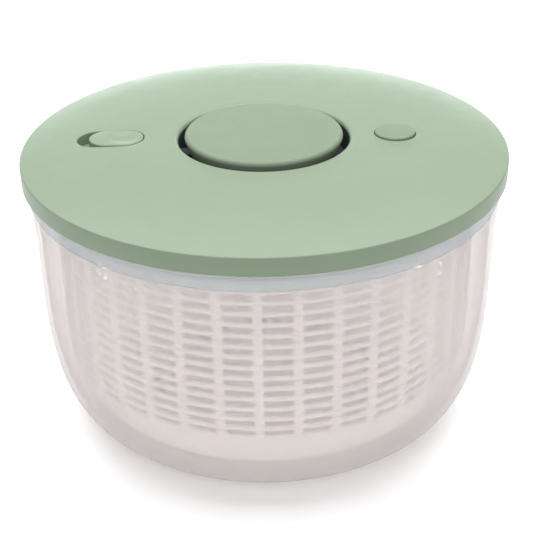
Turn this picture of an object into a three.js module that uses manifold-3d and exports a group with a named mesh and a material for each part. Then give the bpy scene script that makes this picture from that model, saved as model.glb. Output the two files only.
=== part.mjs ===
// Pump salad spinner: frosted bowl, slotted basket and a lid with a push-down drive.
// Millimetres, +Z up. The origin is the centre of the base, on the surface it stands on.
import * as THREE from 'three';
import { mergeVertices } from 'three/addons/utils/BufferGeometryUtils.js';
import Module from 'manifold-3d';

const wasm = await Module();
wasm.setup();

// ---- driving dimensions ----
const GAP = 0.3;                 // clearance left between two pieces that touch
const TURN = 2 * Math.PI;

const SEAT_Z = 150.3;            // height of the lid skirt's lower edge
const LID_R = 135.65;            // outer radius of the lid
const SKIRT_H = 9.7;             // height of the lid's upright skirt
const CROWN_H = 15.25;           // height of the lid's middle above the skirt's lower edge
const LID_WALL = 2.2;
const EDGE_R = 0.9;              // rounding between skirt and dome
const DOME_POWER = 6;            // the dome is flat in the middle and falls off near the edge

const BOWL_WALL = 2.4;
const BOWL_SHOULDER_R = 130.5;   // where the straight wall turns into the rounded lower half
const BOWL_SHOULDER_Z = SEAT_Z - 32.5;
const BOWL_BASE_R = 75.1;
const BOWL_BASE_Z = 1.4;         // the bowl hangs this far above the floor on its foot ring
const BOWL_POWER = 3.56;         // superellipse exponent of the rounded lower half
const BAND_R = 131.6;            // smooth band below the bowl's rim
const BAND_TOP_Z = SEAT_Z - 2.1;
const BAND_BOTTOM_Z = SEAT_Z - 10.1;
const FOOT_R_IN = 62;
const FOOT_R_OUT = 70;
const BOWL_INNER_Z = BOWL_BASE_Z + BOWL_WALL + 0.6;  // top of the bowl's floor
const PIVOT_H = 9.6;             // height of the pivot point in the middle of the bowl's floor

const BASKET_R = 118.8;          // outer radius of the basket below its rim
const BASKET_TOP_Z = SEAT_Z - 9;
const BASKET_FLOOR_Z = 12;
const BASKET_WALL = 2.2;
const BASKET_SHOULDER_Z = 70;
const BASKET_BASE_R = 78;
const BASKET_POWER = 2.9;
const RIBS = 36;
const RIB_WIDTH = 4.8;
const SLOT_ROWS = 14;
const SLOT_PITCH = 6.35;
const SLOT_TOP_Z = SEAT_Z - 19.4;
const WINDOW_ROWS = 2;           // the fine slots are grouped into this many tall windows
const BASKET_TURN = -2.4 * Math.PI / 180;  // how far the basket and its turntable stand turned
const BASKET_HUB_R_IN = 11.2;
const BASKET_HUB_R_OUT = 14.5;
const FLOOR_SLOTS = 12;
const BASKET_KEYS = 6;
const KEY_SPREAD = 0.055;        // angle of each key from the lug it holds

const PUMP_TRAVEL = 32;
const SPIRAL_LEAD = 30;          // rise of the twisted spindle in one turn
const WELL_R = 48;               // opening around the pump button
const CAP_R = 44.2;
const CAP_TOP = 17.6;            // above the skirt's lower edge
const PLUNGER_R = 30;
const PLUNGER_WALL = 2.4;
const HOUSING_R = 38.2;          // inner radius of the tube around the plunger
const HOUSING_WALL = 2.8;

const BRAKE_X = 73.4;
const BRAKE_R = 11.3;
const BRAKE_TRAVEL = 3;
const SLOT_X = -85.7;            // middle of the lock slot
const SLOT_LENGTH = 37.6;
const SLOT_WIDTH = 22.8;
const SLIDER_LENGTH = 30.4;
const SLIDER_WIDTH = 21.4;
const SLIDER_X = SLOT_X + (SLOT_LENGTH - SLIDER_LENGTH) / 2 - 0.5;
const DIMPLE_X = SLIDER_X + (SLIDER_LENGTH - SLIDER_WIDTH) / 2;
const BOLT_TIP_X = -40.8;

const SCREW_CIRCLE_R = 108;
const LID_SCREWS = 6;
const PUMP_SCREWS = 3;
const PUMP_SCREW_CIRCLE_R = 21;
const PILOT_R = 1.65;            // hole that a screw cuts its thread in
const CLEARANCE_R = 1.75;        // hole that a screw passes through
const HEX_R = 5.4;               // spindle's six-sided foot
const FINGER_SWEEP = 1.3;        // angle that each of the drive wheel's sprung fingers spans
const FINGER_STEPS = 6;
const RATCHET_TEETH = 24;

// ---- fineness of the round shapes ----
const WIDE = 40;                 // facets round the big shells
const MIDDLE = 26;               // facets round the drive and pump pieces
const NARROW = 18;               // facets round small discs and stems
const TINY = 8;                  // facets round a screw

// ---- levels inside the lid, measured from the skirt's lower edge ----
const PLATE_TOP = -6;
const PLATE_BOTTOM = -8;
const WELL_FLOOR_TOP = 0;
const WELL_FLOOR_BOTTOM = -2;
const FLANGE_TOP = WELL_FLOOR_BOTTOM - PUMP_TRAVEL - 0.4;
const FLANGE_H = 2.5;
const SPRING_H = 11;
const HOUSING_FLOOR_TOP = FLANGE_TOP - FLANGE_H - SPRING_H - 2 * GAP;
const HOUSING_FLOOR_BOTTOM = HOUSING_FLOOR_TOP - 2;
const WHEEL_TOP = HOUSING_FLOOR_BOTTOM - 0.7;
const WHEEL_H = 4.5;
const HUB_FLOOR_TOP = WHEEL_TOP - WHEEL_H - 0.6;
const HUB_FLOOR_BOTTOM = HUB_FLOOR_TOP - 2;
const DISC_TOP = -11;
const DISC_BOTTOM = -13;

// ---- colours ----
const SAGE = { color: 0xb4c8ac, roughness: 0.45, metalness: 0 };
const SAGE_SOFT = { color: 0xaab99f, roughness: 0.7, metalness: 0 };
const FROSTED = { color: 0xdcd6d6, roughness: 0.6, metalness: 0 };
const WHITE = { color: 0xe8e6e4, roughness: 0.5, metalness: 0 };
const ACETAL = { color: 0xf2f0ea, roughness: 0.4, metalness: 0 };
const SILICONE = { color: 0xd8dcd9, roughness: 0.8, metalness: 0 };
const GREY_RUBBER = { color: 0x8e8480, roughness: 0.9, metalness: 0 };
const STEEL = { color: 0xc8cacc, roughness: 0.3, metalness: 1 };

// ---- geometry helpers ----

// A closed solid from a geometry whose faces point outwards.
function solid(geometry) {
  const bare = geometry.clone();
  bare.deleteAttribute('normal');
  bare.deleteAttribute('uv');
  const welded = mergeVertices(bare, 1e-4);
  const index = welded.index.array;
  const kept = [];
  for (let i = 0; i < index.length; i += 3) {
    const [a, b, c] = [index[i], index[i + 1], index[i + 2]];
    if (a !== b && b !== c && c !== a) kept.push(a, b, c);
  }
  return new wasm.Manifold(new wasm.Mesh({
    numProp: 3,
    vertProperties: new Float32Array(welded.attributes.position.array),
    triVerts: new Uint32Array(kept),
  }));
}

function piece(name, shape, finish) {
  const mesh = shape.getMesh();
  const geometry = new THREE.BufferGeometry();
  geometry.setAttribute('position', new THREE.BufferAttribute(new Float32Array(mesh.vertProperties), 3));
  geometry.setIndex(new THREE.BufferAttribute(new Uint32Array(mesh.triVerts), 1));
  geometry.computeVertexNormals();
  const node = new THREE.Mesh(geometry, new THREE.MeshStandardMaterial(finish));
  node.name = name;
  return node;
}

// Revolves [radius, height] points about an upright axis. A profile that leaves the axis is closed on itself.
function lathe(profile, segments = WIDE, x = 0) {
  const points = profile.map(([r, z]) => new THREE.Vector2(r, z));
  const last = points[points.length - 1];
  if (points[0].x > 0 || last.x > 0) points.push(points[0].clone());
  if (THREE.ShapeUtils.area(points) < 0) points.reverse();
  return solid(new THREE.LatheGeometry(points, segments).rotateX(Math.PI / 2).translate(x, 0, 0));
}

function ring(rInner, rOuter, zLow, zHigh, segments = MIDDLE) {
  return lathe([[rInner, zLow], [rOuter, zLow], [rOuter, zHigh], [rInner, zHigh]], segments);
}

function rod(radius, zLow, zHigh, segments = NARROW, x = 0, y = 0) {
  const height = zHigh - zLow;
  const geometry = new THREE.CylinderGeometry(radius, radius, height, segments).rotateX(Math.PI / 2);
  return solid(geometry.translate(x, y, (zLow + zHigh) / 2));
}

function block(xLow, xHigh, yLow, yHigh, zLow, zHigh, turn = 0) {
  const geometry = new THREE.BoxGeometry(xHigh - xLow, yHigh - yLow, zHigh - zLow);
  geometry.translate((xLow + xHigh) / 2, (yLow + yHigh) / 2, (zLow + zHigh) / 2);
  return solid(geometry.rotateZ(turn));
}

function extrude(shape, zLow, zHigh, curveSegments = 12) {
  const geometry = new THREE.ExtrudeGeometry(shape, {
    depth: zHigh - zLow, bevelEnabled: false, curveSegments,
  });
  return solid(geometry.translate(0, 0, zLow));
}

// A rounded slot shape along X, centred on x.
function stadium(x, length, width) {
  const r = width / 2;
  const half = length / 2 - r;
  const shape = new THREE.Shape();
  shape.moveTo(x - half, -r);
  shape.lineTo(x + half, -r);
  shape.absarc(x + half, 0, r, -Math.PI / 2, Math.PI / 2, false);
  shape.lineTo(x - half, r);
  shape.absarc(x - half, 0, r, Math.PI / 2, 1.5 * Math.PI, false);
  shape.closePath();
  return shape;
}

function prism(outline, zLow, zHigh) {
  const shape = new THREE.Shape(outline.map(([x, y]) => new THREE.Vector2(x, y)));
  return extrude(shape, zLow, zHigh);
}

function join(...shapes) {
  return shapes.reduce((whole, next) => whole.add(next));
}

function polar(radius, angle) {
  return [radius * Math.cos(angle), radius * Math.sin(angle)];
}

// Points on an arc in the profile plane, from one angle to another in degrees.
function arc(cx, cz, radius, fromDeg, toDeg, steps) {
  const points = [];
  for (let i = 0; i <= steps; i += 1) {
    const angle = THREE.MathUtils.degToRad(fromDeg + (toDeg - fromDeg) * i / steps);
    points.push([cx + radius * Math.cos(angle), cz + radius * Math.sin(angle)]);
  }
  return points;
}

// A superellipse quarter from (topR, topZ) down to (baseR, baseZ), listed from the base up.
function superCurve(topR, topZ, baseR, baseZ, power, steps) {
  const points = [];
  for (let i = 0; i <= steps; i += 1) {
    const angle = (Math.PI / 2) * (1 - i / steps);
    const r = baseR + (topR - baseR) * Math.max(Math.cos(angle), 0) ** (2 / power);
    const z = topZ - (topZ - baseZ) * Math.sin(angle) ** (2 / power);
    points.push([r, z]);
  }
  points[0] = [baseR, baseZ];
  return points;
}

// A round wire wound into an open coil, with its ends standing free.
function coil(radius, wire, zLow, zHigh, turns, stepsPerTurn) {
  const rise = zHigh - zLow - wire;
  class Helix extends THREE.Curve {
    getPoint(t) {
      const [x, y] = polar(radius, TURN * turns * t);
      return new THREE.Vector3(x, y, zLow + wire / 2 + rise * t);
    }
  }
  const section = new THREE.Shape();
  section.absarc(0, 0, wire / 2, 0, TURN, false);
  return solid(new THREE.ExtrudeGeometry(section, {
    steps: Math.round(turns * stepsPerTurn), extrudePath: new Helix(), bevelEnabled: false, curveSegments: 3,
  }));
}

// A left-handed twisted bar: one full turn in SPIRAL_LEAD.
function twistedBar(width, thickness, zLow, zHigh, steps) {
  const height = zHigh - zLow;
  const geometry = new THREE.BoxGeometry(width, thickness, height, 2, 1, steps);
  geometry.translate(0, 0, (zLow + zHigh) / 2);
  const position = geometry.attributes.position;
  const spot = new THREE.Vector3();
  const up = new THREE.Vector3(0, 0, 1);
  for (let i = 0; i < position.count; i += 1) {
    spot.fromBufferAttribute(position, i);
    spot.applyAxisAngle(up, -TURN * spot.z / SPIRAL_LEAD);
    position.setXYZ(i, spot.x, spot.y, spot.z);
  }
  return solid(geometry);
}

// A pan-head screw standing on its head, its head's top face at zHead.
function screw(name, x, y, zHead, length, headR = 3.2, shankR = 1.35) {
  const head = rod(headR, zHead - 1.6, zHead, TINY, x, y);
  const shank = rod(shankR, zHead - 0.2, zHead + length, 6, x, y);
  const recess = rod(1.1, zHead - 2, zHead - 0.7, 4, x, y);
  return piece(name, head.add(shank).subtract(recess), STEEL);
}

// ---- bowl ----

function bowlOuter() {
  return [
    ...superCurve(BOWL_SHOULDER_R, BOWL_SHOULDER_Z, BOWL_BASE_R, BOWL_BASE_Z, BOWL_POWER, 8),
    [132.3, BAND_BOTTOM_Z - 1],
    [BAND_R + 0.3, BAND_BOTTOM_Z],
    [BAND_R, BAND_TOP_Z],
    [133.5, BAND_TOP_Z + 0.2],
    [133.7, SEAT_Z - GAP],
  ];
}

function makeBowl() {
  const inner = superCurve(BOWL_SHOULDER_R - BOWL_WALL, BOWL_SHOULDER_Z, BOWL_BASE_R - 3,
    BOWL_INNER_Z, BOWL_POWER, 8);
  const profile = [
    [0, BOWL_BASE_Z],
    [FOOT_R_IN - GAP, BOWL_BASE_Z],
    [FOOT_R_IN - GAP, BOWL_BASE_Z + 1.4],
    [FOOT_R_OUT + GAP, BOWL_BASE_Z + 1.4],
    [FOOT_R_OUT + GAP, BOWL_BASE_Z],
    ...bowlOuter(),
    [129.6, SEAT_Z - GAP],
    ...inner.reverse(),
    [9, BOWL_INNER_Z],
    [5.5, BOWL_INNER_Z + 6],
    [3, BOWL_INNER_Z + PIVOT_H - 0.6],
    [0, BOWL_INNER_Z + PIVOT_H],
  ];
  return lathe(profile);
}

function makeFootRing() {
  return ring(FOOT_R_IN, FOOT_R_OUT, 0, BOWL_BASE_Z + 1.1, WIDE);
}

// ---- basket ----

function basketWall(offset, steps) {
  return superCurve(BASKET_R - offset, BASKET_SHOULDER_Z, BASKET_BASE_R,
    BASKET_FLOOR_Z + offset, BASKET_POWER, steps);
}

function makeBasket() {
  const inside = basketWall(BASKET_WALL, 6);
  const shell = lathe([
    [BASKET_HUB_R_OUT, BASKET_FLOOR_Z],
    ...basketWall(0, 6),
    [BASKET_R + 0.5, SLOT_TOP_Z + 3],
    [BASKET_R + 0.5, BASKET_TOP_Z - 4],
    [BASKET_R + 2.2, BASKET_TOP_Z - 3.4],
    [BASKET_R + 2.2, BASKET_TOP_Z],
    [BASKET_R - 1.6, BASKET_TOP_Z],
    ...inside.reverse(),
    [BASKET_HUB_R_OUT, BASKET_FLOOR_Z + BASKET_WALL],
    [BASKET_HUB_R_OUT, BASKET_FLOOR_Z + 6],
    [BASKET_HUB_R_IN, BASKET_FLOOR_Z + 6],
    [BASKET_HUB_R_IN, BASKET_FLOOR_Z],
  ], RIBS);
  const windows = [];
  const halfAngle = Math.PI / RIBS - RIB_WIDTH / 2 / BASKET_R;
  const windowPitch = SLOT_ROWS / WINDOW_ROWS * SLOT_PITCH;
  for (let rib = 0; rib < RIBS; rib += 1) {
    const middle = TURN * (rib + 0.5) / RIBS;
    const outline = [
      polar(BASKET_R - 12, middle - halfAngle),
      polar(BASKET_R + 3, middle - halfAngle),
      polar(BASKET_R + 3, middle + halfAngle),
      polar(BASKET_R - 12, middle + halfAngle),
    ];
    for (let row = 0; row < WINDOW_ROWS; row += 1) {
      const top = SLOT_TOP_Z - row * windowPitch;
      windows.push(prism(outline, top - windowPitch + SLOT_PITCH / 3, top));
    }
  }
  return shell.subtract(join(...windows, ...floorSlots())).add(join(...driveKeys()));
}

// Long slots in the basket's floor, between its spokes.
function floorSlots() {
  const slots = [];
  for (let i = 0; i < FLOOR_SLOTS; i += 1) {
    const turn = TURN * (i + 0.5) / FLOOR_SLOTS;
    slots.push(block(24, 70, -2.5, 2.5, BASKET_FLOOR_Z - 1, BASKET_FLOOR_Z + 4, turn));
  }
  return slots;
}

// Pairs of ribs inside the rim that the turntable's lugs sit between.
function driveKeys() {
  const keys = [];
  const [top, bottom] = [BASKET_TOP_Z - 0.4, BASKET_TOP_Z - 9];
  for (let i = 0; i < BASKET_KEYS; i += 1) {
    for (const side of [-1, 1]) {
      const turn = TURN * i / BASKET_KEYS + side * KEY_SPREAD;
      keys.push(block(BASKET_R - 4.4, BASKET_R - 1.2, -0.9, 0.9, bottom, top, turn));
    }
  }
  return keys;
}

// A slippery cap clipped under the basket's hub. It stands on the bowl's pivot point.
function makePivotBush() {
  return lathe([
    [9.3, BASKET_FLOOR_Z - 1.4],
    [13.5, BASKET_FLOOR_Z - 1.4],
    [13.5, BASKET_FLOOR_Z - GAP],
    [10.9, BASKET_FLOOR_Z - GAP],
    [10.9, BASKET_FLOOR_Z + 7.2],
    [0, BASKET_FLOOR_Z + 7.2],
    [0, BOWL_INNER_Z + PIVOT_H + GAP],
    [3.4, BOWL_INNER_Z + PIVOT_H - GAP],
    [5.9, BOWL_INNER_Z + 6.2],
  ], NARROW);
}

// ---- lid ----

function domeHeight(r) {
  const low = SKIRT_H + EDGE_R * 0.55;
  return low + (CROWN_H - low) * (1 - (r / LID_R) ** DOME_POWER);
}

function makeLidCover() {
  const domeR = [134.8, 129, 120, 106, 84];
  const underR = [84, 106, 120, 131];
  const lipR = 2.4;
  const lip = arc(WELL_R + lipR, CROWN_H - lipR, lipR, 90, 180, 3);
  const inner = LID_R - LID_WALL;
  const profile = [
    [inner, 0],
    [LID_R - 0.4, 0],
    [LID_R, 0.4],
    ...arc(LID_R - EDGE_R, SKIRT_H - 0.2, EDGE_R, 0, 60, 2),
    ...domeR.map((r) => [r, domeHeight(r)]),
    ...lip,
    [WELL_R - 0.6, WELL_FLOOR_TOP + 1.5],
    [WELL_R - 2, WELL_FLOOR_TOP],
    [PLUNGER_R + 0.8, WELL_FLOOR_TOP],
    [PLUNGER_R + 0.8, WELL_FLOOR_BOTTOM],
    [WELL_R + 1.4, WELL_FLOOR_BOTTOM],
    [WELL_R + 2, CROWN_H - LID_WALL - 1],
    ...underR.map((r) => [r, domeHeight(r) - LID_WALL]),
    [inner, SKIRT_H - 1.5],
  ];
  const pocketWall = extrude(stadium(SLOT_X, SLOT_LENGTH + 3.6, SLOT_WIDTH + 3.6), 7.2, CROWN_H - 1.6);
  const brakeWall = rod(BRAKE_R + 2, 2, CROWN_H - 1.6, NARROW, BRAKE_X, 0);
  const cover = join(lathe(profile), pocketWall, brakeWall, ...screwBosses());
  const pocket = extrude(stadium(SLOT_X, SLOT_LENGTH, SLOT_WIDTH), 9.2, CROWN_H + 1);
  const neckSlot = extrude(stadium(SLOT_X, 24, 8), 6, 10);
  const boltWindow = block(-WELL_R - 4, -WELL_R + 4, -5.4, 5.4, 2.7, 6.6);
  const brakeWell = rod(BRAKE_R + GAP, 4, CROWN_H + 1, MIDDLE, BRAKE_X, 0);
  const stemHole = rod(6.5, 1, 5, NARROW, BRAKE_X, 0);
  return cover.subtract(join(pocket, neckSlot, boltWindow, brakeWell, stemHole, ...screwHoles()));
}

function screwSpots() {
  const spots = [];
  for (let i = 0; i < LID_SCREWS; i += 1) {
    spots.push(polar(SCREW_CIRCLE_R, TURN * (i + 0.5) / LID_SCREWS));
  }
  return spots;
}

function screwBosses() {
  return screwSpots().map(([x, y]) => rod(4, PLATE_TOP + GAP, CROWN_H - 3, TINY, x, y));
}

function screwHoles() {
  return screwSpots().map(([x, y]) => rod(PILOT_R, PLATE_TOP - 1, 6, TINY, x, y));
}

// Inner plate with the tube that guides the plunger.
function makeUnderplate() {
  const plugR = 127.4;
  const tube = HOUSING_R + HOUSING_WALL;
  const profile = [
    [9, HOUSING_FLOOR_BOTTOM],
    [tube - 3, HOUSING_FLOOR_BOTTOM],
    [tube, HOUSING_FLOOR_BOTTOM + 3],
    [tube, PLATE_BOTTOM],
    [plugR, PLATE_BOTTOM],
    [plugR, -6.4],
    [plugR - 1, -6.4],
    [plugR - 1, -3.4],
    [plugR, -3.4],
    [plugR, 0.2],
    [132.8, 0.2],
    [132.8, 1.8],
    [plugR - 2.2, 1.8],
    [plugR - 2.2, PLATE_TOP],
    [tube, PLATE_TOP],
    [tube, WELL_FLOOR_BOTTOM - GAP],
    [HOUSING_R, WELL_FLOOR_BOTTOM - GAP],
    [HOUSING_R, HOUSING_FLOOR_TOP],
    [9, HOUSING_FLOOR_TOP],
  ];
  const grooves = [0, Math.PI].map((turn) => block(HOUSING_R - 2, HOUSING_R + 1.6, -3, 3,
    HOUSING_FLOOR_TOP + 1, 0, turn + Math.PI / 2));
  const padHole = rod(9, PLATE_BOTTOM - 1, PLATE_TOP + 1, NARROW, BRAKE_X, 0);
  const holes = screwSpots().map(([x, y]) => rod(CLEARANCE_R, PLATE_BOTTOM - 1, PLATE_TOP + 1, TINY, x, y));
  return lathe(profile).subtract(join(...grooves, padHole, ...holes));
}

function makeSeal() {
  return lathe([[126.7, -6.1], [127.9, -6.1], [129.1, -5.2], [129.1, -4.6], [127.9, -3.7], [126.7, -3.7]]);
}

function makeSpindleBearing() {
  return lathe([
    [6, HOUSING_FLOOR_BOTTOM + 0.1],
    [8.7, HOUSING_FLOOR_BOTTOM + 0.1],
    [8.7, HOUSING_FLOOR_TOP + GAP],
    [12, HOUSING_FLOOR_TOP + GAP],
    [12, HOUSING_FLOOR_TOP + GAP + 1.5],
    [6, HOUSING_FLOOR_TOP + GAP + 1.5],
  ], NARROW);
}

// ---- pump ----

function pumpScrewSpots() {
  const spots = [];
  for (let i = 0; i < PUMP_SCREWS; i += 1) {
    spots.push(polar(PUMP_SCREW_CIRCLE_R, TURN * (i + 0.25) / PUMP_SCREWS));
  }
  return spots;
}

function makePumpCap() {
  const roof = CAP_TOP - 2.6;
  const roundR = 3.2;
  const cap = lathe([
    [37.2, 1],
    [39.4, 1],
    [40.1, 2.8],
    [39, 2.8],
    [39, 6.6],
    [41.5, 6.6],
    [CAP_R - 0.05, CAP_TOP - roundR - 0.6],
    ...arc(CAP_R - roundR, CAP_TOP - roundR, roundR, 0, 90, 4),
    [0, CAP_TOP],
    [0, roof],
    [39.4, roof],
    [39.4, 9],
    [36.8, 6.6],
  ], MIDDLE);
  const bosses = pumpScrewSpots().map(([x, y]) => rod(3.4, 8.6, roof + 1, TINY, x, y));
  const holes = pumpScrewSpots().map(([x, y]) => rod(PILOT_R, 8, 14, TINY, x, y));
  return cap.add(join(...bosses)).subtract(join(...holes));
}

function makePlunger() {
  const inner = PLUNGER_R - PLUNGER_WALL;
  const bottom = FLANGE_TOP - FLANGE_H;
  const body = lathe([
    [inner - 1.6, bottom],
    [36, bottom],
    [36, FLANGE_TOP],
    [PLUNGER_R, FLANGE_TOP],
    [PLUNGER_R, 5],
    [34, 6.4],
    [34, 8.3],
    [0, 8.3],
    [0, 6.4],
    [inner, 6.4],
    [inner, bottom + 1.2],
    [inner - 1.6, bottom + 1.2],
  ], MIDDLE);
  const keys = [0, Math.PI].map((turn) => block(34, HOUSING_R + 1, -2.4, 2.4, bottom, FLANGE_TOP,
    turn + Math.PI / 2));
  const holes = pumpScrewSpots().map(([x, y]) => rod(CLEARANCE_R, 5, 9, TINY, x, y));
  return join(body, ...keys).subtract(join(...holes));
}

function makeSpiralNut() {
  const zLow = FLANGE_TOP - FLANGE_H + 1.5;
  const disc = rod(PLUNGER_R - PLUNGER_WALL - GAP, zLow, zLow + 5, MIDDLE);
  return disc.subtract(twistedBar(15.4, 4.6, zLow - 2, zLow + 7, 7));
}

function makeReturnSpring() {
  const low = HOUSING_FLOOR_TOP + GAP;
  return coil(33.4, 1.6, low, low + SPRING_H, 4.6, 11);
}

function makeSpindle() {
  const collarLow = HOUSING_FLOOR_TOP + 2 * GAP + 1.5;
  const journal = rod(5.7, WHEEL_TOP + 0.2, collarLow + 0.5);
  const foot = rod(HEX_R, HUB_FLOOR_BOTTOM - 0.2, WHEEL_TOP + 0.4, 6);
  const collar = rod(9.5, collarLow, collarLow + 2);
  const bar = twistedBar(14, 3, collarLow + 1, 5.4, 30);
  const pilot = rod(PILOT_R, HUB_FLOOR_BOTTOM - 1, HUB_FLOOR_BOTTOM + 7, TINY);
  return join(journal, foot, collar, bar).subtract(pilot);
}

// Drive wheel with sprung fingers that push the turntable round one way only.
function makeRatchetWheel() {
  const low = WHEEL_TOP - WHEEL_H;
  const hub = rod(12, low, WHEEL_TOP);
  const fingers = [];
  for (let i = 0; i < 3; i += 1) {
    const start = TURN * i / 3;
    const outline = [];
    for (let k = 0; k <= FINGER_STEPS; k += 1) {
      const share = k / FINGER_STEPS;
      outline.push(polar(10.5 + 11.6 * share, start + FINGER_SWEEP * share));
    }
    for (let k = FINGER_STEPS; k >= 0; k -= 1) {
      const share = k / FINGER_STEPS;
      outline.push(polar(8.6 + 11.2 * share, start + FINGER_SWEEP * share + 0.05));
    }
    fingers.push(prism(outline, low + 0.4, WHEEL_TOP - 0.4));
  }
  const bore = rod(HEX_R + 0.4, low - 1, WHEEL_TOP + 1, 6);
  return join(hub, ...fingers).subtract(bore);
}

// Disc and cup that turn the basket. A ring of saw teeth inside the cup takes the wheel's fingers.
function makeTurntable() {
  const cupR = HOUSING_R + HOUSING_WALL + 2.6;
  const plate = lathe([
    [6.4, HUB_FLOOR_BOTTOM],
    [30, HUB_FLOOR_BOTTOM],
    [cupR + 1.6, HOUSING_FLOOR_BOTTOM + 1],
    [cupR + 2.2, DISC_BOTTOM - 4],
    [cupR + 6.2, DISC_BOTTOM],
    [112.4, DISC_BOTTOM],
    [112.4, DISC_TOP],
    [cupR + 4, DISC_TOP],
    [cupR, DISC_TOP - 3.6],
    [cupR - 0.6, HOUSING_FLOOR_BOTTOM + 1.6],
    [28.6, HUB_FLOOR_TOP],
    [6.4, HUB_FLOOR_TOP],
  ]);
  const teeth = [];
  for (let i = 0; i < RATCHET_TEETH; i += 1) {
    teeth.push(polar(25.4, TURN * i / RATCHET_TEETH));
    teeth.push(polar(23, TURN * (i + 0.9) / RATCHET_TEETH));
  }
  const band = rod(28, HUB_FLOOR_TOP - 0.3, WHEEL_TOP - 0.2, MIDDLE);
  const toothed = band.subtract(prism(teeth, HUB_FLOOR_TOP - 1, WHEEL_TOP + 1));
  const lugs = [];
  for (let i = 0; i < BASKET_KEYS; i += 1) {
    lugs.push(block(111, 115.6, -4.6, 4.6, DISC_BOTTOM, DISC_TOP, TURN * i / BASKET_KEYS));
  }
  return join(plate, toothed, ...lugs);
}

function makeWasher() {
  return ring(2.2, 12, HUB_FLOOR_BOTTOM - 0.5 - 1.2, HUB_FLOOR_BOTTOM - 0.5, NARROW);
}

// ---- brake ----

function makeBrakeButton() {
  const top = CROWN_H + 1.1;
  const profile = [
    [0, -4.9],
    [5.9, -4.9],
    [5.9, 11.9],
    [BRAKE_R - 0.1, 11.9],
    [BRAKE_R, 13],
    [BRAKE_R, top - 0.9],
    ...arc(BRAKE_R - 0.9, top - 0.9, 0.9, 30, 90, 2),
    [0, top],
  ];
  return lathe(profile, MIDDLE);
}

function makeBrakePad() {
  return rod(8, DISC_TOP + BRAKE_TRAVEL + GAP, -4.9 - GAP);
}

function makeBrakeSpring() {
  return coil(8.6, 0.8, 4.3, 11.6, 4, 8);
}

// ---- lock ----

function makeLockSlider() {
  const top = CROWN_H;
  const plate = join(
    extrude(stadium(SLIDER_X, SLIDER_LENGTH, SLIDER_WIDTH), 9.5, top - 0.6),
    extrude(stadium(SLIDER_X, SLIDER_LENGTH - 1.2, SLIDER_WIDTH - 1.2), top - 0.7, top),
  );
  const neck = block(SLIDER_X - 6, SLIDER_X + 6, -3.4, 3.4, 6.9, 10);
  const dish = lathe([
    [0, top - 1.1],
    [4, top - 0.85],
    [7, top - 0.3],
    [8.2, top + 0.1],
    [8.2, top + 2],
    [0, top + 2],
  ], NARROW, DIMPLE_X);
  const pilot = rod(PILOT_R, 5, 9.5, TINY, SLIDER_X, 0);
  return join(plate, neck).subtract(dish).subtract(pilot);
}

function makeLockBolt() {
  const bar = block(SLIDER_X - 9, BOLT_TIP_X, -4.8, 4.8, 3.2, 6.2);
  const saddle = block(SLIDER_X - 9, SLIDER_X + 9, -7, 7, 3.2, 6.6);
  return bar.add(saddle).subtract(rod(CLEARANCE_R, 2, 8, TINY, SLIDER_X, 0));
}

// ---- assembly ----

function bowlGroup() {
  const group = new THREE.Group();
  group.add(piece('bowl', makeBowl(), FROSTED));
  group.add(piece('non_slip_ring', makeFootRing(), GREY_RUBBER));
  return group;
}

function basketGroup() {
  const group = new THREE.Group();
  const basket = piece('basket', makeBasket(), WHITE);
  basket.rotation.z = BASKET_TURN;
  group.add(basket, piece('pivot_bush', makePivotBush(), ACETAL));
  return group;
}

function pumpGroup() {
  const group = new THREE.Group();
  group.add(piece('pump_cap', makePumpCap(), SAGE_SOFT));
  group.add(piece('pump_plunger', makePlunger(), WHITE));
  group.add(piece('spiral_nut', makeSpiralNut(), ACETAL));
  group.add(piece('return_spring', makeReturnSpring(), STEEL));
  pumpScrewSpots().forEach(([x, y], i) => group.add(screw(`pump_screw_${i + 1}`, x, y, 6.1, 7)));
  return group;
}

function driveGroup() {
  const group = new THREE.Group();
  group.add(piece('drive_spindle', makeSpindle(), ACETAL));
  group.add(piece('spindle_bearing', makeSpindleBearing(), ACETAL));
  group.add(piece('ratchet_wheel', makeRatchetWheel(), ACETAL));
  const turntable = piece('turntable', makeTurntable(), WHITE);
  turntable.rotation.z = BASKET_TURN;
  group.add(turntable);
  group.add(piece('spindle_washer', makeWasher(), STEEL));
  group.add(screw('spindle_screw', 0, 0, HUB_FLOOR_BOTTOM - 2, 8));
  return group;
}

function brakeGroup() {
  const group = new THREE.Group();
  group.position.x = BRAKE_X;
  group.add(piece('brake_button', makeBrakeButton(), SAGE_SOFT));
  group.add(piece('brake_pad', makeBrakePad(), GREY_RUBBER));
  group.add(piece('brake_spring', makeBrakeSpring(), STEEL));
  return group;
}

function lockGroup() {
  const group = new THREE.Group();
  group.add(piece('lock_slider', makeLockSlider(), SAGE));
  group.add(piece('lock_bolt', makeLockBolt(), ACETAL));
  group.add(screw('lock_screw', SLIDER_X, 0, 2.9, 5.5));
  return group;
}

function lidGroup() {
  const group = new THREE.Group();
  group.position.z = SEAT_Z;
  group.add(piece('lid_cover', makeLidCover(), SAGE));
  group.add(piece('lid_underplate', makeUnderplate(), WHITE));
  group.add(piece('lid_seal', makeSeal(), SILICONE));
  screwSpots().forEach(([x, y], i) => group.add(screw(`lid_screw_${i + 1}`, x, y, PLATE_BOTTOM - GAP, 13)));
  group.add(pumpGroup(), driveGroup(), brakeGroup(), lockGroup());
  return group;
}

const spinner = new THREE.Group();
spinner.add(bowlGroup(), basketGroup(), lidGroup());

export default spinner;
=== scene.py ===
# Pump salad spinner: the visible pieces, their materials, the studio and the camera.
# Outlines are in millimetres and become metres when a mesh is made. Heights called "lid heights" are
# measured from the lower edge of the lid's skirt. The front is -Y.
import math

import bmesh
import bpy
from mathutils import Matrix, Vector, geometry


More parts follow.
